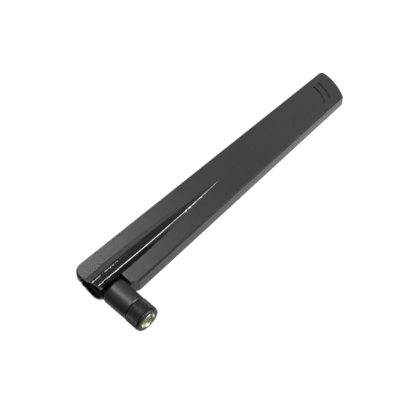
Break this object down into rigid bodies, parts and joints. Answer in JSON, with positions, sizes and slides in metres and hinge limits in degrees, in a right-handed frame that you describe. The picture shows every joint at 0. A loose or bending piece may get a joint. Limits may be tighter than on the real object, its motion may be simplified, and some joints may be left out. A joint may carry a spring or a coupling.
{
  "type": "omnidirectional antenna",
  "caption": "Flat tapering paddle antenna whose blade folds on a round swivelling elbow that carries a threaded coaxial plug with a spinning ribbed nut.",
  "frame": {"origin": "on the plug's axis, in the mating plane at the end of its outer contact barrel", "axes": "+X the way the plug mates, +Y along the blade from hinge to tip, +Z through the blade's thickness, out of the face with the tip grooves"},
  "size_m": [0.0355, 0.1408, 0.0117],
  "materials": {
    "shell_plastic": "finely textured charcoal black flats with a polished ridge",
    "elbow_plastic": "satin black",
    "cover_plastic": "satin black with fine ribs",
    "gold_plate": "polished gold-plated brass",
    "ptfe": "waxy white",
    "silicone": "soft red-brown",
    "spring_metal": "satin",
    "seal_rubber": "matte black",
    "braid": "tinned braid",
    "copper_wire": "silvered copper",
    "washer_plastic": "natural nylon",
    "cable_jacket": "satin black",
    "board": "green solder mask",
    "copper_foil": "etched copper",
    "solder": "bright solder",
    "foam": "dark foam",
    "glue": "translucent hot melt",
    "heat_shrink_plastic": "matte black"
  },
  "bodies": {
    "connector": {"connector_body": "gold_plate", "connector_dielectric": "ptfe", "centre_contact": "gold_plate", "gasket": "silicone", "nut_snap_ring": "spring_metal", "swivel_clip": "spring_metal", "swivel_seal": "seal_rubber", "crimp_ferrule": "spring_metal", "coax_braid_at_connector": "braid", "coax_dielectric_at_connector": "ptfe", "coax_core_at_connector": "copper_wire"},
    "nut": {"coupling_nut": "gold_plate", "nut_cover": "cover_plastic"},
    "elbow": {"elbow_body": "elbow_plastic", "pivot_washers": "washer_plastic", "coax_elbow_run": "cable_jacket"},
    "blade": {"front_shell": "shell_plastic", "rear_shell": "shell_plastic", "antenna_board": "board", "board_copper_front": "copper_foil", "board_copper_rear": "copper_foil", "solder_joints": "solder", "foam_pads": "foam", "cable_glue": "glue", "heat_shrink": "heat_shrink_plastic", "coax_blade_run": "cable_jacket", "coax_braid_at_board": "braid", "coax_dielectric_at_board": "ptfe", "coax_core_at_board": "copper_wire", "coax_bend": "cable_jacket"}
  },
  "joints": [
    {"name": "nut_spin", "type": "hinge", "parent": "connector", "child": "nut", "pos_m": [0, 0, 0], "axis": [1, 0, 0], "continuous": true},
    {"name": "elbow_swivel", "type": "hinge", "parent": "connector", "child": "elbow", "pos_m": [-0.0096, 0, 0], "axis": [1, 0, 0], "range_deg": [-180, 180]},
    {"name": "blade_tilt", "type": "hinge", "parent": "elbow", "child": "blade", "pos_m": [-0.024, 0, 0], "axis": [0, 0, 1], "range_deg": [0, 90], "deforming": ["coax_bend"]}
  ]
}
